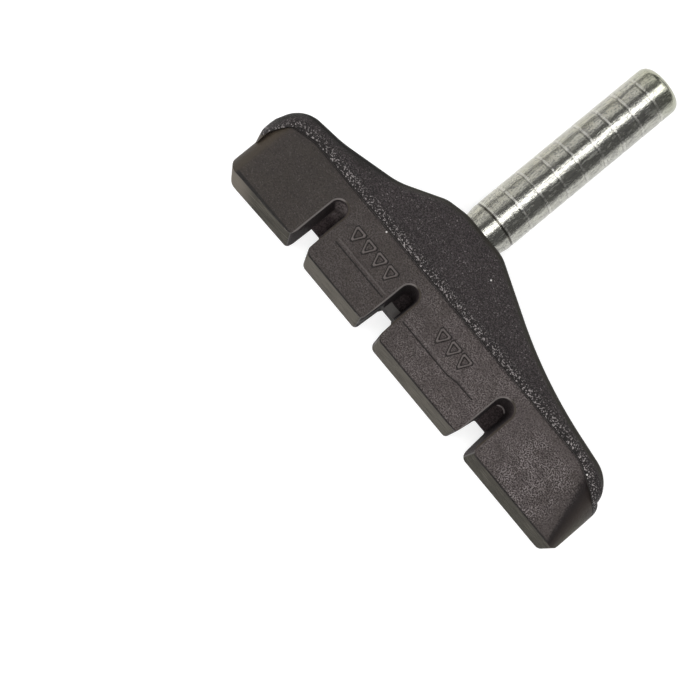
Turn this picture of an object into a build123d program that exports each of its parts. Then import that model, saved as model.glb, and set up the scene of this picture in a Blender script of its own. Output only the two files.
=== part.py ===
from build123d import *

import os
from math import atan2, radians, tan

# Bicycle rim brake pad for a cantilever brake: a slotted rubber block on a humped
# backing, moulded in one piece over a steel plate and a smooth steel post.
#
# Frame, in millimetres: the origin is on the post's axis, where the brake arm's clamp can
# first hold it. X runs along the rim, Y from the friction face towards the tip of the post,
# and Z through the pad's height. The mould opens along Z, so both side faces are the same.
# Distances along Y are given from the friction face, and the sketches are drawn from there.
origin_step = 0.1         # the origin lies this far past the start of the post's full diameter

# Friction block
block_left = -27.05       # short end, seen from the post
block_right = 36.36       # long end
block_height = 12.0
block_depth = 9.79        # friction face to the border with the backing
left_corner = 2.2         # plan radius of the short end's corners
right_corner_front = 1.8  # plan radius of the long end's corners at the friction face
right_end_flat = 0.15     # half of what stays flat of that end at the border, where it is blunter
left_toe = 1.5            # rounding from the friction face to the short end
right_toe = 0.8           # the same at the long end
right_heel = 1.5          # rounding from the long end to the back of the block
heel_height = 8.0
heel_run = 5.0
end_droop = 0.33          # the short end's block hangs this far below the friction face
end_lean = 0.25           # the long end leans in this far towards the friction face

# Slots across the friction face
slots = (                 # place, width at the side faces, shift, width and start of the open stretch
    (-13.72, 2.5, 0.27, 2.06, 3.3),
    (0.2, 2.66, 0.0, 2.6, 3.73),
    (18.65, 2.9, 0.0, 2.2, 3.68),
)
slot_reach = 7.93         # friction face to the round end
slot_draft = 5.5          # degrees, walls lean in towards the middle of the pad
mouth_flare = 0.35        # how much wider than at the side faces each slot is at its mouth
left_mouth = 0.6          # rounding of the mouth's left and right corners
right_mouth = 1.0
slot_edge = 0.2           # bevel of the slots' edges on the side faces
web_thickness = 1.0
ledge_height = 3.0        # thicker front edge of the middle slot's web
ledge_depth = 1.2
pit_web = 0.6             # the middle slot's web behind that edge

# Humped backing, across
backing_proud = 0.2       # how far its sides stand out past the block's
band_top = 10.97          # upright band beside the border ends here
flank_lean = 11.5         # degrees, the flanks above the band lean in
band_round = 6.0          # rounding between the band and the flanks
back_edge = 1.8           # rounding between the back and the flanks
rim_start = 6.0           # that rounding begins this far from the friction face
backing_flat_left = 3.6   # half of what stays flat of the backing's short end between its corners
backing_flat_right = 2.6  # the same at the long end

# Humped backing from the side: corners from the short end over the hump to the long end
backing_left = -27.85
backing_right = 35.54
wing_foot = (-27.0, 4.26)
wing_bulge = (-28.09, 6.84)
wing_corner = (-26.53, 11.91)
wing_knee = (-19.97, 12.74)
hump_foot = (-11.77, 15.05)
shoulder_place = -6.13
shoulder_drop = 0.77      # the shoulder lies this far below the top of the hump
hump_height = 19.37       # friction face to the top of the hump
hump_left = -3.0
hump_right = 3.89
slope_foot = (19.38, 13.07)
slope_blend = 8.28        # what the hollow slope's rounding takes of the lines on both sides of it
long_wing_top = 11.11
long_wing_foot = 5.0
long_wing_round = 4.8
backing_roundings = (4.0, 4.2, 16.0, 10.0, 4.0, 6.0, 5.0)  # from the wing's bulge to the hump's right end

# Border between block and backing on the side faces: it turns down at both ends
border_left = ((-26.76, 4.06), (-26.91, 6.18), (-25.47, 8.85))
border_bend_left = -22.09
border_bend_right = 29.65
border_right = (37.0, 6.77)
border_roundings = (3.0, 1.5, 3.0, 6.0)
border_margin = 3.0       # the backing's side of the border is cut out this much larger

# Wear lines: fine raised lines on the side faces of the two middle blocks
wear_lines = (
    ((-10.66, 4.14), (-1.95, 4.14)),
    ((2.45, 4.13), (10.86, 4.13), (12.46, 4.48), (15.06, 4.53)),
)
wear_line_width = 0.47
wear_line_rise = 0.1

# Post
post_diameter = 7.0
post_reach = 29.3         # how far it runs on with its full diameter, to its end
tip_round = 1.2
neck_diameter = 6.4       # where it enters the rubber, and inside
neck_length = 1.83        # from the top of the hump to the full diameter
ring_start = 0.56         # from there to the first ring
ring_pitch = 3.171
ring_count = 9
ring_width = 0.5
ring_depth = 0.05

# Steel plate and rivet
plate_front = 9.9         # friction face to the plate
plate_thickness = 1.5
plate_left = -22.0
plate_right = 30.0
plate_width = 7.5
flow_hole = 3.0           # rubber passes through these holes and holds the plate
flow_hole_places = (-15.0, 17.5)
collar_diameter = 9.5
collar_thickness = 1.2
tenon_diameter = 4.5
rivet_diameter = 6.8
rivet_height = 0.9

half_height = block_height / 2
half_backing = half_height + backing_proud
plate_back = plate_front + plate_thickness
neck_end = hump_height + neck_length
post_tip = neck_end + post_reach
seat = neck_end + origin_step  # friction face to the origin
side_view = Plane(origin=(0, -seat, 0))
section_view = Plane(origin=(0, -seat, 0), x_dir=(0, 1, 0), z_dir=(1, 0, 0))
os.makedirs("parts", exist_ok=True)


# Backing plate: a strip with round ends, a hole for the post's tenon and two flow holes
with BuildPart() as backing_plate:
    with BuildSketch(Plane.XZ.offset(seat - plate_front)):
        with Locations(((plate_left + plate_right) / 2, 0)):
            SlotOverall(plate_right - plate_left, plate_width)
        Circle(tenon_diameter / 2, mode=Mode.SUBTRACT)
        with Locations(*[(place, 0) for place in flow_hole_places]):
            Circle(flow_hole / 2, mode=Mode.SUBTRACT)
    extrude(amount=-plate_thickness)


# Post: one turned stud, from the riveted end through the plate to the rounded tip
collar_back = plate_back + collar_thickness
with BuildPart() as post:
    with BuildSketch(side_view):
        with BuildLine():
            Polyline(
                (0, plate_front - rivet_height),
                (tenon_diameter / 2, plate_front - rivet_height),
                (rivet_diameter / 2, plate_front),
                (tenon_diameter / 2, plate_front),
                (tenon_diameter / 2, plate_back),
                (collar_diameter / 2, plate_back),
                (collar_diameter / 2, collar_back),
                (neck_diameter / 2, collar_back),
                (neck_diameter / 2, hump_height),
                (post_diameter / 2, neck_end),
                (post_diameter / 2, post_tip),
                (0, post_tip),
                close=True,
            )
        make_face()
    revolve(axis=Axis.Y)
    tip_edge = post.edges().filter_by(GeomType.CIRCLE).sort_by(Axis.Y)[-1]
    fillet(tip_edge, tip_round)
    with BuildSketch(side_view):
        for ring in range(ring_count):
            place = neck_end + ring_start + ring * ring_pitch
            with BuildLine():
                Polyline(
                    (post_diameter / 2, place - ring_width / 2),
                    (post_diameter / 2 - ring_depth, place),
                    (post_diameter / 2, place + ring_width / 2),
                    (post_diameter / 2 + ring_depth, place),
                    close=True,
                )
            make_face()
    revolve(axis=Axis.Y, mode=Mode.SUBTRACT)


# Friction block: side outline crossed with a plan whose long end grows blunter to the back
right_corner_back = half_height - right_end_flat
with BuildPart() as block:
    for y, right_corner in ((-end_droop, right_corner_front), (block_depth, right_corner_back)):
        with BuildSketch(Plane.XZ.offset(seat - y)) as plan:
            with Locations(((block_left + block_right) / 2, 0)):
                Rectangle(block_right - block_left, block_height)
            fillet(plan.vertices().group_by(Axis.X)[0], left_corner)
            fillet(plan.vertices().group_by(Axis.X)[-1], right_corner)
    loft(ruled=True)
    with BuildSketch(side_view):
        with BuildLine():
            FilletPolyline(
                (block_left, -end_droop),
                (slots[0][0], 0),
                (block_right - end_lean, 0),
                (block_right, heel_height),
                (block_right - heel_run, block_depth),
                (block_left, block_depth),
                radius=(left_toe, 0, right_toe, right_heel, 0, 0),
                close=True,
            )
        make_face()
    extrude(amount=block_height, both=True, mode=Mode.INTERSECT)

    # Each slot is a drafted pocket in both side faces, and open through in front of its web
    for place, width, shift, open_width, web_start in slots:
        middle = place == slots[1][0]
        web = pit_web if middle else web_thickness
        mouth = width + mouth_flare
        open_left = place + shift - open_width / 2
        open_right = open_left + open_width
        for side in (1, -1):
            for grown, depth, draft in ((0, half_height - web / 2, slot_draft), (slot_edge, slot_edge, 45)):
                with BuildSketch(side_view.offset(side * half_height)):
                    with Locations((place, slot_reach - width / 2)):
                        Rectangle(width + 2 * grown, 2 * slot_reach, align=(Align.CENTER, Align.MAX))
                        Circle(width / 2 + grown)
                extrude(amount=-side * depth, taper=draft, mode=Mode.SUBTRACT)
        if middle:
            with BuildSketch(side_view):
                with BuildLine():
                    ledge = ThreePointArc(
                        (place - width, web_start + 1.5 * ledge_depth),
                        (place, web_start + ledge_depth),
                        (place + width, web_start + 1.5 * ledge_depth),
                    )
                    Polyline(ledge @ 1, (place + width, web_start), (place - width, web_start), ledge @ 0)
                make_face()
            extrude(amount=ledge_height / 2, both=True)
        with BuildSketch(side_view):
            with BuildLine():
                Polyline(
                    (open_left, web_start),
                    (2 * place - mouth - open_left, -web_start),
                    (2 * place + mouth - open_right, -web_start),
                    (open_right, web_start),
                    close=True,
                )
            make_face()
        extrude(amount=block_height, both=True, mode=Mode.SUBTRACT)

    # Corners of the blocks where the slots open
    for radius, side in ((left_mouth, -1), (right_mouth, 1)):
        mouth_edges = [place + side * (width + mouth_flare) / 2 for place, width, *_ in slots]
        corners = [
            edge
            for edge in block.edges().filter_by(Axis.Z)
            if abs(edge.center().Y + seat) < 0.1 and min(abs(edge.center().X - x) for x in mouth_edges) < 0.1
        ]
        fillet(corners, radius)

# Backing: its side outline, crossed with its section and its plan
slope = atan2(hump_height - slope_foot[1], slope_foot[0] - hump_right)
long_wing_slope = atan2(slope_foot[1] - long_wing_top, backing_right - slope_foot[0])
slope_round = slope_blend / tan((slope - long_wing_slope) / 2)
with BuildPart() as backing:
    with BuildSketch(side_view):
        with BuildLine():
            back = FilletPolyline(
                wing_foot,
                wing_bulge,
                wing_corner,
                wing_knee,
                hump_foot,
                (shoulder_place, hump_height - shoulder_drop),
                (hump_left, hump_height),
                (hump_right, hump_height),
                slope_foot,
                (backing_right, long_wing_top),
                (backing_right, long_wing_foot),
                radius=(*backing_roundings, slope_round, long_wing_round),
            )
            Line(back @ 1, back @ 0)
        make_face()
    extrude(amount=half_backing, both=True)
    with BuildSketch(section_view):
        flank_height = hump_height + border_margin - band_top
        with BuildLine():
            side = FilletPolyline(
                (0, half_backing),
                (band_top, half_backing),
                (band_top + flank_height, half_backing - flank_height * tan(radians(flank_lean))),
                radius=band_round,
            )
            mirror(side, about=Plane.XZ)
            Line((0, half_backing), (0, -half_backing))
            Line(side @ 1, ((side @ 1).X, -(side @ 1).Y))
        make_face()
    extrude(amount=block_right - block_left, both=True, mode=Mode.INTERSECT)
    upright = backing.faces().filter_by(lambda f: abs(f.normal_at().Z) < 0.01).sort_by(Axis.Y)[1:]
    rim = upright.edges().filter_by(Axis.Z, reverse=True).filter_by(lambda e: e.center().Y > rim_start - seat)
    fillet(rim, back_edge)
    with BuildSketch(Plane.XZ.offset(seat)) as plan:
        with Locations(((backing_left + backing_right) / 2, 0)):
            Rectangle(backing_right - backing_left, 2 * half_backing)
        fillet(plan.vertices().group_by(Axis.X)[0], half_backing - backing_flat_left)
        fillet(plan.vertices().group_by(Axis.X)[-1], half_backing - backing_flat_right)
    extrude(amount=-(hump_height + border_margin), mode=Mode.INTERSECT)
    with BuildSketch(side_view):
        with BuildLine():
            border = FilletPolyline(
                *border_left,
                (border_bend_left, block_depth),
                (border_bend_right, block_depth),
                border_right,
                radius=border_roundings,
            )
            Polyline(
                border @ 1,
                (border_right[0], hump_height + border_margin),
                (backing_left - border_margin, hump_height + border_margin),
                (backing_left - border_margin, border_left[0][1]),
                border @ 0,
            )
        make_face()
    extrude(amount=half_backing, both=True, mode=Mode.INTERSECT)

with BuildPart() as rubber_pad:
    add(block.part)
    add(backing.part)
    with BuildSketch(side_view):
        for points in wear_lines:
            with BuildLine():
                Polyline(*points)
            trace(line_width=wear_line_width)
    extrude(amount=half_height + wear_line_rise, both=True)
    add(backing_plate.part, mode=Mode.SUBTRACT)
    add(post.part, mode=Mode.SUBTRACT)

for name, made in (("rubber_pad", rubber_pad), ("backing_plate", backing_plate), ("post", post)):
    made.part.label = name
    export_step(made.part, f"parts/{name}.step")
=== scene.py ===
import math
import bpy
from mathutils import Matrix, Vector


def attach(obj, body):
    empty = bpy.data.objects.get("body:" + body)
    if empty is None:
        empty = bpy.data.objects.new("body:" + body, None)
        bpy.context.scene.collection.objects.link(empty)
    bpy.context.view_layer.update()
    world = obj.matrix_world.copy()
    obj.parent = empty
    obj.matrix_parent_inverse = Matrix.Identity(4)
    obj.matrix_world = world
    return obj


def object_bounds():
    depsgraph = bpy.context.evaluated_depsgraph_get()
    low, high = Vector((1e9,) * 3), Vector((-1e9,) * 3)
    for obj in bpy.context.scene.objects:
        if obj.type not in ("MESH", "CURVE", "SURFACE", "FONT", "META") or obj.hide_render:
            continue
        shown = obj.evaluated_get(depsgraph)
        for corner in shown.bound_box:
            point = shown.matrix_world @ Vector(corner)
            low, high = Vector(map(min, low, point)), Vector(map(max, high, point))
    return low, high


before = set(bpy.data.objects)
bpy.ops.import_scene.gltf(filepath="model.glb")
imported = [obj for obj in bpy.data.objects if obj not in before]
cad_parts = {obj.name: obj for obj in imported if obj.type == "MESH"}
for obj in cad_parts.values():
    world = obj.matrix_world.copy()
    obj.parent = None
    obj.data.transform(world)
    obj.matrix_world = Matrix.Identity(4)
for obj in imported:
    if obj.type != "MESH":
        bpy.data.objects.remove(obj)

from types import SimpleNamespace

import bmesh
import bpy
from mathutils import Matrix, Vector

cad_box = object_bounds()

# Sizes on the solids are in millimetres, with y from the friction face. Blender's are in metres.
MM = 0.001
SEAT = 21.3                     # friction face to the origin
HALF_HEIGHT = 6.0               # middle plane to the block's side faces
RAMP_START, RAMP_LENGTH = -30.0, 70.0  # stretch along X that the colour ramps cover
RAMP_TOP = 12.0                 # a ramp that stands for a height tops out here
SLOTS = ((-13.72, 2.5), (0.2, 2.66), (18.65, 2.9))  # place and width
BORDER = (                      # between the block and the backing, on the side faces
    (-26.85, 5.31), (-26.72, 6.43), (-26.5, 6.95), (-25.77, 8.29), (-25.54, 8.61), (-25.22, 8.86),
    (-24.85, 9.02), (-22.48, 9.68), (-22.22, 9.74), (-21.95, 9.78), (-21.68, 9.79), (28.47, 9.79),
    (29.24, 9.74), (30.01, 9.59), (30.75, 9.34), (37.0, 6.77),
)
WEAR_LINE = ((10.86, 4.14), (12.46, 4.48), (15.06, 4.53))
WEAR_SPANS = ((-10.9, -1.7), (2.2, 15.3))           # where along X its two stretches lie
LAST_SLOT_END = (18.65, 6.48)   # centre of the last slot's round end
BRIGHT_GRAINS = ((5.3, 15.9), (-7.7, 9.5), (31.6, 9.3))
RING_START, RING_PITCH = 21.76, 3.171

# Raised marks: triangle outlines that point at the wear line, in rows on the two middle blocks
MARK_ROWS = ((-9.7, 4), (6.85, 3))                  # first place and count
MARK_STEP = 2.1
MARK_Y = 6.55
MARK_WIDE, MARK_TALL = 0.85, 1.05
MARK_CORNER = 9                 # degrees, half of what each blunt corner takes
MARK_SECTION = (                # triangle's radius and level, from the outer foot over the top to the inner foot
    (1.31, -0.03), (1.30, 0.012), (1.12, 0.02), (1.04, 0.09), (0.96, 0.15), (0.88, 0.165),
    (0.80, 0.15), (0.72, 0.09), (0.64, 0.02), (0.47, 0.012), (0.46, -0.03),
)

# How strong the grain is and how light the side face is along X, and the same for the friction face
GRAIN = ((-27, 0.12), (-15, 0.26), (-12, 0.40), (0.0, 0.46), (3, 0.64), (16.5, 0.73), (20.3, 0.62),
         (22.6, 0.74), (25, 1.05), (31, 1.0), (33.5, 0.3))
SIDE_TONE = ((-27, 0.1), (-20, 0.0), (-15.5, 0.06), (-12, 0.22), (0.0, 0.28), (9, 0.70), (20, 0.72),
             (30, 0.6), (36, 0.3))
FRONT_TONE = ((-24, 0.0), (-15, 0.1), (-11, 0.9), (-2, 0.8), (3, 0.55), (15, 0.68), (20, 0.05),
              (35, 0.0))

# Linear colours of the side faces, of their ends and of the long end's facet
SIDE_DARK, SIDE_LIGHT = (0.0262, 0.0206, 0.0176), (0.0900, 0.0725, 0.0715)
SIDE_PATCH = (0.0420, 0.0340, 0.0250)
SIDE_CREASE = (0.0130, 0.0095, 0.0085)
SIDE_SPECK = (0.1400, 0.1200, 0.1150)
SIDE_BORDER_SHADE = (0.0100, 0.0075, 0.0070)
SIDE_EDGE = (0.0060, 0.0045, 0.0042)
TURNED_AWAY = (0.0400, 0.0320, 0.0240)
SHORT_END_BACK, SHORT_END_FRONT = (0.0560, 0.0430, 0.0310), (0.0450, 0.0360, 0.0270)
FACET_DEEP_SHADE, FACET_HALF_SHADE = (0.0120, 0.0080, 0.0080), (0.0400, 0.0310, 0.0260)
FACET_LIT = (0.0560, 0.0500, 0.0330)
# Friction face
FRONT_DARK, FRONT_OLIVE = (0.0120, 0.0098, 0.0050), (0.0360, 0.0310, 0.0190)
FRONT_DUSTY = (0.0950, 0.0840, 0.0690)
FRONT_SMEAR, FRONT_STAIN = (0.1250, 0.1120, 0.0900), (0.0100, 0.0085, 0.0060)
FRONT_TOE = (0.1500, 0.1300, 0.1050)
FRONT_EDGE = (0.0080, 0.0065, 0.0050)
# Slots
PIT_SHADE, PIT_SHADE_GRAIN = (0.0170, 0.0115, 0.0120), (0.0460, 0.0350, 0.0355)
PIT_END_LIT, PIT_FOOT_LIT = (0.3000, 0.2560, 0.2500), (0.1300, 0.1080, 0.1060)
PIT_DEEP_SHADE = (0.0060, 0.0040, 0.0040)
PIT_LEDGE = (0.0900, 0.0840, 0.0800)
PIT_ARC_HIGHLIGHT = (0.3000, 0.2700, 0.2650)
SLOT_EDGE_HIGHLIGHT = (0.2600, 0.2350, 0.2280)
# Backing
FLANK_DARK, FLANK_GRAIN = (0.0150, 0.0115, 0.0118), (0.0470, 0.0385, 0.0395)
FLANK_SPECK = (0.2200, 0.1950, 0.1970)
BAND_DARK, BAND_GRAIN = (0.0055, 0.0042, 0.0042), (0.0270, 0.0222, 0.0220)
BAND_SPECK_GLINT = (0.4000, 0.3640, 0.3590)
BAND_FOOT_SHADE = (0.0060, 0.0045, 0.0044)
WING_SMOOTH = (0.0085, 0.0075, 0.0058)
RIM_DARK, RIM_OLIVE = (0.0170, 0.0148, 0.0110), (0.0300, 0.0265, 0.0200)
RIM_SHORT_END = (0.0040, 0.0034, 0.0025)
# Grains and raised lines
GRAIN_LIGHT, GRAIN_DARK = (0.2300, 0.2000, 0.1980), (0.0120, 0.0090, 0.0090)
MARK_TOP_HIGHLIGHT, LINE_TOP_HIGHLIGHT = (0.1700, 0.1480, 0.1440), (0.1500, 0.1300, 0.1260)
RAISED_FOOT_SHADE = (0.0080, 0.0060, 0.0060)
BRIGHT = (0.75, 0.72, 0.70)


class Tree:
    """A material and short calls that build its nodes

    p is the position in mm with y from the friction face, x, y and z are its parts, and nx, ny
    and nz are those of the true normal.
    """

    def __init__(self, name):
        self.mat = bpy.data.materials.new(name)
        self.mat.use_nodes = True
        self.nt = self.mat.node_tree
        self.nt.nodes.clear()
        out = self.node("ShaderNodeOutputMaterial")
        self.bsdf = self.node("ShaderNodeBsdfPrincipled")
        self.nt.links.new(self.bsdf.outputs[0], out.inputs["Surface"])
        place = self.node("ShaderNodeMapping")
        self.put(place.inputs["Vector"], self.node("ShaderNodeTexCoord").outputs["Object"])
        place.inputs["Scale"].default_value = (1000, 1000, 1000)
        place.inputs["Location"].default_value = (0, SEAT, 0)
        self.p = place.outputs[0]
        self.x, self.y, self.z = self.parts(self.p)
        self.nx, self.ny, self.nz = self.parts(self.node("ShaderNodeNewGeometry").outputs["Normal"])

    def node(self, kind, **props):
        n = self.nt.nodes.new(kind)
        for k, v in props.items():
            setattr(n, k, v)
        return n

    def put(self, sock, value):
        if isinstance(value, bpy.types.NodeSocket):
            self.nt.links.new(value, sock)
        else:
            sock.default_value = value

    def parts(self, vec):
        n = self.node("ShaderNodeSeparateXYZ")
        self.put(n.inputs[0], vec)
        return n.outputs

    def math(self, op, *values):
        n = self.node("ShaderNodeMath", operation=op)
        for sock, value in zip(n.inputs, values):
            self.put(sock, value)
        return n.outputs[0]

    def add(self, a, b):
        return self.math("ADD", a, b)

    def sub(self, a, b):
        return self.math("SUBTRACT", a, b)

    def abs(self, a):
        return self.math("ABSOLUTE", a)

    def mul(self, first, *others):
        for other in others:
            first = self.math("MULTIPLY", first, other)
        return first

    def most(self, first, *others):
        for other in others:
            first = self.math("MAXIMUM", first, other)
        return first

    def step(self, x, lo, hi, a=0.0, b=1.0):
        """x from lo to hi becomes a to b, smoothly and clamped"""
        n = self.node("ShaderNodeMapRange", interpolation_type="SMOOTHSTEP", clamp=True)
        for sock, value in zip(n.inputs, (x, lo, hi, a, b)):
            self.put(sock, value)
        return n.outputs[0]

    def stripe(self, x, middle, outer, inner):
        """1 within inner of the middle, down to 0 at outer"""
        return self.step(self.abs(self.sub(x, middle)), outer, inner)

    def distance(self, x, y):
        """How far the point is from x, y"""
        dx, dy = self.sub(self.x, x), self.sub(self.y, y)
        return self.math("SQRT", self.add(self.mul(dx, dx), self.mul(dy, dy)))

    def along(self, points):
        """A value that changes piecewise along X, from pairs of x and a value from 0 to 1"""
        n = self.node("ShaderNodeValToRGB")
        els = n.color_ramp.elements
        while len(els) < len(points):
            els.new(0.5)
        for e, (px, value) in zip(els, points):
            e.position = (px - RAMP_START) / RAMP_LENGTH
            e.color = (value, value, value, 1)
        self.put(n.inputs[0], self.math("DIVIDE", self.sub(self.x, RAMP_START), RAMP_LENGTH))
        return n.outputs[0]

    def height_along(self, points):
        return self.mul(self.along([(px, py / RAMP_TOP) for px, py in points]), RAMP_TOP)

    def mix(self, f, a, b):
        n = self.node("ShaderNodeMix", data_type="RGBA", blend_type="MIX")
        for i, value in ((0, f), (6, a), (7, b)):
            self.put(n.inputs[i], (*value, 1) if isinstance(value, tuple) else value)
        return n.outputs[2]

    def coat(self, under, colour, mask, strength):
        """The colour over what is under it, where the mask is 1 and as strongly as said"""
        return self.mix(self.mul(mask, strength), under, colour)

    def scaled(self, scale):
        n = self.node("ShaderNodeMapping")
        self.put(n.inputs["Vector"], self.p)
        n.inputs["Scale"].default_value = scale
        return n.outputs[0]

    def noise(self, vec, scale, detail=2.0, rough=0.5, dist=0.0):
        n = self.node("ShaderNodeTexNoise")
        self.put(n.inputs["Vector"], vec)
        n.inputs["Scale"].default_value = scale
        n.inputs["Detail"].default_value = detail
        n.inputs["Roughness"].default_value = rough
        n.inputs["Distortion"].default_value = dist
        return n.outputs[0]

    def bump(self, height, strength, distance):
        n = self.node("ShaderNodeBump")
        n.inputs["Strength"].default_value = strength
        n.inputs["Distance"].default_value = distance
        self.put(n.inputs["Height"], height)
        self.put(self.bsdf.inputs["Normal"], n.outputs[0])


def rubber_noises(t):
    """Textures of the moulding, from fine grain to wide patches"""
    return SimpleNamespace(
        leather=t.noise(t.p, 3.0, 2, 0.55, 0.5),
        worm=t.noise(t.p, 4.6, 2, 0.55, 0.35),
        fine=t.noise(t.p, 7.5, 2, 0.6),
        grit=t.noise(t.p, 5.5, 1, 0.6),
        speck=t.noise(t.p, 5.4, 1, 0.5),
        patch=t.noise(t.p, 0.35, 3, 0.6),
        cluster=t.noise(t.p, 0.55, 2, 0.6),
        smear=t.noise(t.scaled((0.16, 1.0, 1.0)), 2.2, 3, 0.6),
    )


def rubber_masks(t):
    """Where on the rubber a point lies, each from 0 to 1, and two distances in mm"""
    m = SimpleNamespace()
    m.level = t.abs(t.z)                                        # from the middle plane
    m.over = t.sub(t.y, t.height_along(BORDER))                 # past the border
    m.backing = t.step(m.over, -0.05, 0.05)
    m.block = t.sub(1.0, m.backing)
    m.face = t.step(t.abs(t.nz), 0.93, 0.99)
    m.front = t.mul(t.step(t.mul(t.ny, -1.0), 0.6, 0.9), t.step(t.y, 1.0, 0.6))
    m.rim = t.step(t.ny, 0.35, 0.75)

    # insides of the slots, which flare at their mouths, and the bevels of their left edges, which carry a painted
    # highlight
    near, left = [], []
    flare = t.step(t.y, 1.3, 0.1, 0.0, 1.1)
    for place, width in SLOTS:
        off = t.sub(t.x, place)
        inside = t.step(t.sub(t.abs(off), flare), width / 2 + 0.24, width / 2 + 0.18)
        near.append(inside)
        left.append(t.mul(inside, t.step(off, 0.1 * width, -0.3 * width)))
    in_slot = t.mul(t.most(*near), t.step(t.y, 8.3, 8.15))
    bevel = t.mul(t.step(m.level, 5.76, 5.82), t.step(m.level, 5.998, 5.97))
    m.pit = t.mul(in_slot, t.step(m.level, 5.84, 5.72), t.sub(1.0, m.front))
    m.slot_edge = t.mul(t.most(*left), in_slot, bevel)

    # how strongly each block is grained
    fade = t.most(t.step(t.y, 9.2, 7.0, 0.5, 1.0), t.step(t.x, 23.0, 20.0))
    m.coarse = t.mul(t.along(GRAIN), fade, t.mul(m.block, m.face), t.sub(1.0, m.pit))
    return m


def side_colour(t, m, n):
    """Block: browner and duller at the short end, greyer and lighter along the third block"""
    col = t.mix(t.along(SIDE_TONE), SIDE_DARK, SIDE_LIGHT)
    col = t.coat(col, SIDE_PATCH, t.step(n.patch, 0.3, 0.8), 0.35)
    col = t.coat(col, SIDE_CREASE, t.step(n.leather, 0.50, 0.64), 0.5)
    col = t.coat(col, SIDE_SPECK, t.step(n.speck, 0.60, 0.70), 0.22)
    # painted shadow: a dark line on the block's side face just below the backing's raised border
    col = t.coat(col, SIDE_BORDER_SHADE, t.step(m.over, -0.30, -0.05), 0.8)
    col = t.mix(m.face, TURNED_AWAY, col)
    short_end = t.mix(t.step(t.y, 6.5, 2.5), SHORT_END_BACK, SHORT_END_FRONT)
    col = t.coat(col, short_end, t.mul(t.step(t.x, -24.6, -27.0), m.block), 0.9)

    # the long end's facet: smooth, with painted shade that is dark where it faces little towards +X, brown where
    # it faces more and olive low down where it faces most
    facet = t.mix(t.step(t.nx, 0.25, 0.75), FACET_DEEP_SHADE, FACET_HALF_SHADE)
    facet = t.mix(t.mul(t.step(t.nx, 0.6, 0.95), t.step(t.y, 7.5, 3.5)), facet, FACET_LIT)
    return t.mix(t.mul(t.step(t.nx, 0.05, 0.22), t.step(t.x, 29.0, 30.5)), col, facet)


def front_colour(t, m, n):
    """Friction face: dustier on the middle blocks, with streaks and dark edges"""
    col = t.mix(n.patch, FRONT_DARK, FRONT_OLIVE)
    col = t.mix(t.along(FRONT_TONE), col, FRONT_DUSTY)
    col = t.coat(col, FRONT_SMEAR, t.step(n.smear, 0.46, 0.66), 0.5)
    col = t.coat(col, FRONT_STAIN, t.step(n.smear, 0.50, 0.34), 0.5)
    col = t.coat(col, FRONT_TOE, t.step(t.x, -21.0, -25.0), 0.8)
    return t.coat(col, FRONT_EDGE, t.step(m.level, 5.3, 5.8), 0.8)


def slot_colour(t, m, n):
    # the slots' insides: painted shade, near black with a lighter grit grain
    col = t.mix(t.step(n.grit, 0.42, 0.62), PIT_SHADE, PIT_SHADE_GRAIN)
    # first slot: painted light at its round end and on the web beside it
    first = t.step(t.x, -11.0, -12.0)
    end = t.mul(t.step(t.ny, -0.25, -0.7), first, t.step(m.level, 5.5, 4.2), t.step(t.y, 6.1, 6.6))
    col = t.coat(col, PIT_END_LIT, end, t.step(n.leather, 0.38, 0.60, 0.2, 1.0))
    foot = t.mul(first, t.step(m.level, 1.2, 0.9), t.step(t.y, 5.6, 7.0))
    col = t.coat(col, PIT_FOOT_LIT, foot, t.step(n.leather, 0.40, 0.58, 0.2, 0.9))
    # middle slot: painted deeper shade in the pocket behind a smooth grey ledge
    middle = t.stripe(t.x, SLOTS[1][0], 2.2, 2.1)
    col = t.coat(col, PIT_DEEP_SHADE, middle, 0.35)
    col = t.mix(t.mul(middle, t.step(t.y, 5.15, 4.95), t.step(m.level, 1.75, 1.6)), col, PIT_LEDGE)
    # last slot: painted highlight, a light line round its end
    arc = t.stripe(t.distance(*LAST_SLOT_END), 0.86, 0.11, 0.05)
    return t.coat(col, PIT_ARC_HIGHLIGHT, t.mul(arc, t.step(t.y, 6.9, 7.15), t.step(m.level, 1.1, 0.8)), 0.8)


def backing_colour(t, m, n):
    """Sparse specks on the flanks, a band beside the border with specks and painted glints, a painted shadow at
    its foot, and a smooth olive rim
    """
    flank = t.mix(t.step(n.grit, 0.42, 0.60), FLANK_DARK, FLANK_GRAIN)
    flank = t.coat(flank, FLANK_SPECK, t.step(n.speck, 0.62, 0.72), t.step(n.cluster, 0.38, 0.58, 0.1, 0.8))
    band = t.mix(t.step(n.grit, 0.46, 0.60), BAND_DARK, BAND_GRAIN)
    # specks, partly painted glints: strongest just above the border, where the band's lower edge catches the
    # light, and fading upwards
    band = t.coat(band, BAND_SPECK_GLINT, t.step(n.speck, 0.55, 0.66), t.step(m.over, 2.0, 0.5, 0.12, 0.8))
    # painted shadow: a dark line at the band's foot, along the border
    band = t.mix(t.step(m.over, 0.20, 0.10), band, BAND_FOOT_SHADE)
    col = t.mix(t.step(t.add(m.over, t.mul(n.cluster, 2.0)), 3.6, 1.2), flank, band)
    col = t.coat(col, WING_SMOOTH, t.mul(t.step(t.x, -12.0, -18.0), t.step(m.over, 1.9, 2.9)), 0.85)
    rim = t.mix(n.patch, RIM_DARK, RIM_OLIVE)
    rim = t.mix(t.step(t.x, -9.0, -15.0, 0.0, 0.9), rim, RIM_SHORT_END)
    return t.mix(m.rim, col, rim)


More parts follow.
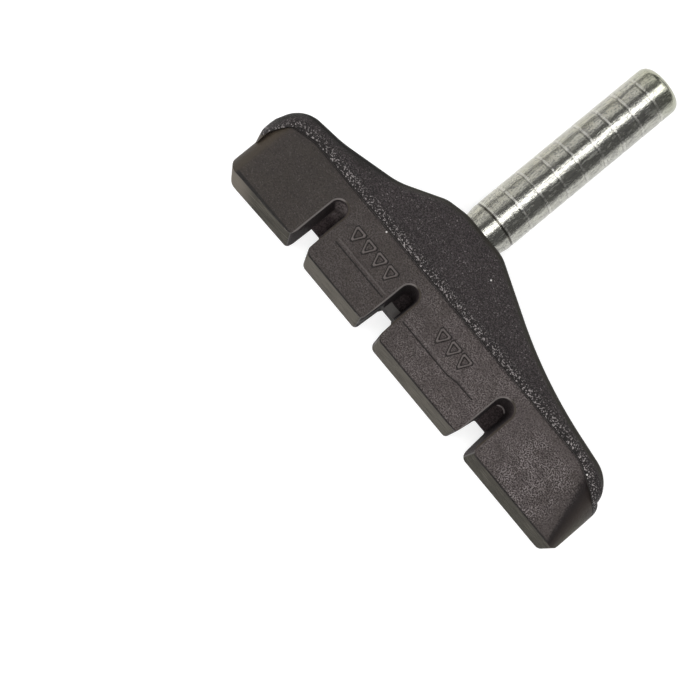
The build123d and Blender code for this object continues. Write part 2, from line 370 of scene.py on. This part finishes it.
def raised_lines(t, m, col):
    """Painted highlights on the tops and painted shade at the feet of the raised marks and of the wear line"""
    from_line = t.sub(t.y, t.height_along(WEAR_LINE))
    soft = 0.05
    spans = t.most(*[
        t.mul(t.step(t.x, a - soft, a + soft), t.step(t.x, b + soft, b - soft)) for a, b in WEAR_SPANS
    ])
    line_top = t.mul(t.stripe(from_line, 0.22, 0.15, 0.07), spans, m.block)
    line_foot = t.mul(t.stripe(from_line, -0.32, 0.13, 0.08), spans, t.mul(m.face, m.block))
    mark_top = t.mul(m.block, t.step(m.level, 6.04, 6.09))
    low = t.mul(t.step(m.level, 6.001, 6.004), t.step(m.level, 6.09, 6.05))
    mark_foot = t.mul(m.block, t.step(t.y, 4.9, 5.3), low)
    col = t.coat(col, MARK_TOP_HIGHLIGHT, mark_top, t.step(t.y, 4.9, 5.3, 0.05, 0.6))
    col = t.coat(col, LINE_TOP_HIGHLIGHT, line_top, 0.35)
    return t.mix(t.most(t.mul(line_foot, 0.85), t.mul(mark_foot, 0.85)), col, RAISED_FOOT_SHADE)


def rubber():
    t = Tree("moulded_rubber")
    n = rubber_noises(t)
    m = rubber_masks(t)
    col = t.mix(m.front, side_colour(t, m, n), front_colour(t, m, n))
    col = t.mix(m.pit, col, slot_colour(t, m, n))
    # painted highlight: the slots' left bevels made lighter
    col = t.coat(col, SLOT_EDGE_HIGHLIGHT, m.slot_edge, 0.7)
    col = t.mix(m.backing, col, backing_colour(t, m, n))

    light = t.mul(t.step(n.grit, 0.47, 0.60), t.mul(m.coarse, m.coarse), t.step(n.cluster, 0.35, 0.62, 0.35, 1.0))
    col = t.mix(light, col, GRAIN_LIGHT)
    col = t.coat(col, GRAIN_DARK, t.step(n.grit, 0.47, 0.36), t.mul(m.coarse, 0.75))
    col = raised_lines(t, m, col)
    col = t.coat(col, SIDE_EDGE, t.mul(t.step(t.y, 0.24, 0.12), m.face, m.block), 0.85)
    for place in BRIGHT_GRAINS:
        spot = t.mul(t.step(t.distance(*place), 0.16, 0.06), t.step(t.nz, 0.2, 0.4))
        col = t.mix(spot, col, BRIGHT)
    t.put(t.bsdf.inputs["Base Color"], col)

    matt = (m.front, t.mul(m.pit, 0.9), t.mul(m.rim, m.backing, 0.85))
    rough = t.most(t.add(0.50, t.mul(n.leather, 0.15)), *matt)
    t.put(t.bsdf.inputs["Roughness"], rough)
    t.bsdf.inputs["Specular IOR Level"].default_value = 0.28

    leather = t.mul(n.leather, t.add(0.35, t.mul(m.coarse, 1.3)))
    grit = t.mul(n.grit, t.add(0.10, m.coarse))
    worm = t.mul(t.add(n.worm, t.mul(n.fine, 0.4)), m.backing, t.sub(1.0, t.mul(m.rim, 0.85)))
    t.bump(t.add(t.add(leather, grit), worm), 1.0, 0.0002)
    return t.mat


def zinc():
    """Zinc plate, dull and streaky along the post, with a painted beige reflection on its -X side and, at the
    rings, painted highlights on the lips and painted shade in the grooves
    """
    t = Tree("zinc_plate")
    streak = t.noise(t.scaled((1.0, 0.14, 1.0)), 5.0, 3, 0.65)
    mottle = t.noise(t.scaled((1.0, 0.5, 1.0)), 2.4, 4, 0.7, 0.8)
    fleck = t.noise(t.scaled((1.0, 0.6, 1.0)), 6.5, 2, 0.6)
    dull = t.noise(t.scaled((1.0, 0.22, 1.0)), 2.6, 3, 0.7)
    cloud = t.noise(t.p, 0.4, 2, 0.5)

    # distance to the nearest ring, mm
    half_pitch = RING_PITCH / 2
    turns = t.math("FRACT", t.math("DIVIDE", t.sub(t.y, RING_START - half_pitch), RING_PITCH))
    off = t.sub(t.mul(turns, RING_PITCH), half_pitch)
    ringed = t.mul(t.step(t.y, 21.3, 21.4), t.step(t.y, 47.8, 47.6), t.step(mottle, 0.35, 0.60, 0.35, 1.0))
    lip = t.mul(t.stripe(off, 0.22, 0.22, 0.08), ringed)
    groove = t.mul(t.stripe(off, -0.06, 0.14, 0.04), ringed)

    col = t.mix(mottle, (0.27, 0.265, 0.235), (0.60, 0.60, 0.54))
    # painted reflection: a beige tint on the post's -X side
    beige_reflection = t.mul(t.step(t.x, 0.3, -2.6), t.step(cloud, 0.25, 0.7, 0.35, 1.0))
    col = t.coat(col, (0.46, 0.44, 0.34), beige_reflection, 0.6)
    col = t.coat(col, (0.17, 0.165, 0.17), t.step(streak, 0.50, 0.60), 0.5)
    col = t.coat(col, (0.12, 0.12, 0.125), t.step(fleck, 0.54, 0.64), 0.6)
    # painted highlight on the ring lips and painted shade in the ring grooves
    col = t.coat(col, (0.80, 0.79, 0.75), lip, 0.35)
    col = t.coat(col, (0.16, 0.155, 0.14), groove, 0.55)
    # a greenish tint near the tip, and painted shade: a dark line in the first ring's groove
    col = t.coat(col, (0.40, 0.42, 0.28), t.step(t.y, 46.0, 50.0), 0.35)
    col = t.coat(col, (0.05, 0.045, 0.035), t.stripe(t.y, 21.70, 0.24, 0.08), 0.85)
    t.put(t.bsdf.inputs["Base Color"], col)
    t.bsdf.inputs["Metallic"].default_value = 1.0

    worn = t.mul(t.most(t.step(fleck, 0.46, 0.64), t.step(streak, 0.52, 0.62)), 0.17)
    dulled = t.mul(t.step(dull, 0.50, 0.62), t.step(t.x, 0.5, 1.3, 0.0, 0.40))
    t.put(t.bsdf.inputs["Roughness"], t.most(t.add(0.10, worn), dulled, t.mul(lip, 0.40)))
    height = t.add(t.mul(mottle, 0.7), t.add(t.mul(fleck, 0.5), t.mul(streak, 0.5)))
    t.bump(height, 0.8, 0.000032)
    return t.mat


def plate_steel():
    t = Tree("pressed_steel")
    streak = t.noise(t.scaled((0.15, 1, 2.5)), 2.0, 3, 0.6)
    t.put(t.bsdf.inputs["Base Color"], t.mix(streak, (0.33, 0.33, 0.34), (0.5, 0.5, 0.52)))
    t.bsdf.inputs["Metallic"].default_value = 1.0
    t.put(t.bsdf.inputs["Roughness"], t.add(0.28, t.mul(streak, 0.2)))
    t.bump(streak, 0.2, 0.0001)
    return t.mat


def dress(obj, mat):
    if not obj.material_slots:
        obj.data.materials.append(mat)
    for s in obj.material_slots:
        s.material = mat


def place_object(name, data):
    ob = bpy.data.objects.new(name, data)
    bpy.context.scene.collection.objects.link(ob)
    return ob


rubber_mat = rubber()
dress(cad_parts["rubber_pad"], rubber_mat)
dress(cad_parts["backing_plate"], plate_steel())
dress(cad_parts["post"], zinc())


def triangle(bm, middle, radius, z):
    """A ring of six points: a triangle with blunt corners that points at the friction face"""
    ring = []
    for corner in (-90, 30, 150):
        for turn in (-MARK_CORNER, MARK_CORNER):
            angle = math.radians(corner + turn)
            x = middle + radius * MARK_WIDE * math.cos(angle)
            y = MARK_Y + radius * MARK_TALL * math.sin(angle) - SEAT
            ring.append(bm.verts.new((x * MM, y * MM, z * MM)))
    return ring


def wear_marks():
    """Plain raised triangle outlines on both side faces"""
    bm = bmesh.new()
    for side in (1, -1):
        for first, count in MARK_ROWS:
            for i in range(count):
                rings = [
                    triangle(bm, first + MARK_STEP * i, radius, (HALF_HEIGHT + level) * side)
                    for radius, level in MARK_SECTION
                ]
                for lo, hi in zip(rings, rings[1:]):
                    for a in range(len(lo)):
                        b = (a + 1) % len(lo)
                        quad = [lo[a], lo[b], hi[b], hi[a]]
                        bm.faces.new(quad if side > 0 else quad[::-1])
    me = bpy.data.meshes.new("wear_marks")
    bm.to_mesh(me)
    bm.free()
    ob = place_object("wear_marks", me)
    me.materials.append(rubber_mat)
    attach(ob, "root")


wear_marks()


def pale_sheet():
    """The floor's material, which glows a little so that it shows white"""
    mat = bpy.data.materials.new("pale_sheet")
    mat.use_nodes = True
    shader = mat.node_tree.nodes["Principled BSDF"]
    shader.inputs["Base Color"].default_value = (0.42, 0.42, 0.415, 1)
    shader.inputs["Roughness"].default_value = 0.9
    shader.inputs["Emission Color"].default_value = (1, 1, 1, 1)
    shader.inputs["Emission Strength"].default_value = 0.74
    return mat


FLOOR_REACH = 1.2        # metres, to each side
FLOOR_GAP = 0.00003      # keeps it off the pad's lowest face
floor = place_object("floor", bpy.data.meshes.new("floor"))
bm = bmesh.new()
low = cad_box[0][2] - FLOOR_GAP
corners = ((-1, -1), (1, -1), (1, 1), (-1, 1))
bm.faces.new([bm.verts.new((sx * FLOOR_REACH, sy * FLOOR_REACH, low)) for sx, sy in corners])
bm.to_mesh(floor.data)
bm.free()
floor.data.materials.append(pale_sheet())


def area(name, place, target, size, size_y, radiance):
    """A soft box; its power comes from the brightness that it shows"""
    light = bpy.data.lights.new(name, "AREA")
    light.shape = "RECTANGLE"
    light.size = size
    light.size_y = size_y
    light.energy = radiance * math.pi * size * size_y
    ob = place_object(name, light)
    ob.location = Vector(place)
    ob.rotation_euler = (Vector(target) - Vector(place)).to_track_quat("-Z", "Y").to_euler()


area("top_box", (0.075, 0.05, 0.75), (0.075, 0.05, 0), 0.28, 1.6, 4.2)
area("left_box", (-0.68, 0.10, 0.43), (0, 0.01, 0), 0.92, 0.6, 0.78)
area("key_box", (-0.62, -0.62, 0.48), (0, 0, 0), 0.45, 0.45, 7.0)
area("far_box", (0.05, 1.10, 0.55), (0, 0, 0), 0.8, 0.5, 1.2)

world = bpy.data.worlds.new("studio")
bpy.context.scene.world = world
world.use_nodes = True
background = world.node_tree.nodes["Background"]
background.inputs["Color"].default_value = (1, 1, 1, 1)
background.inputs["Strength"].default_value = 0.17
bpy.context.scene.view_settings.view_transform = "Standard"

# Camera, as fitted to the photo: where it is, where it looks, its roll and its lens
EYE = Vector((8.9888, -34.9113 - SEAT, 287.0)) * MM
TARGET = Vector((0.2504, -2.9025 - SEAT, 0.0)) * MM
ROLL = 0.8759            # radians
SENSOR_MM = 36.0
FOCAL_PX, PICTURE_PX = 2273.0, 696.0
cam_data = bpy.data.cameras.new("camera")
cam_data.sensor_fit = "HORIZONTAL"
cam_data.sensor_width = SENSOR_MM
cam_data.lens = SENSOR_MM * FOCAL_PX / PICTURE_PX
cam_data.clip_start = 0.01
cam_data.clip_end = 20
cam = place_object("camera", cam_data)
back = (EYE - TARGET).normalized()
right = Vector((-math.sin(ROLL), math.cos(ROLL), 0)).cross(back).normalized()
up = back.cross(right)
cam.matrix_world = Matrix((*zip(right, up, back, EYE), (0, 0, 0, 1)))
bpy.context.scene.camera = cam
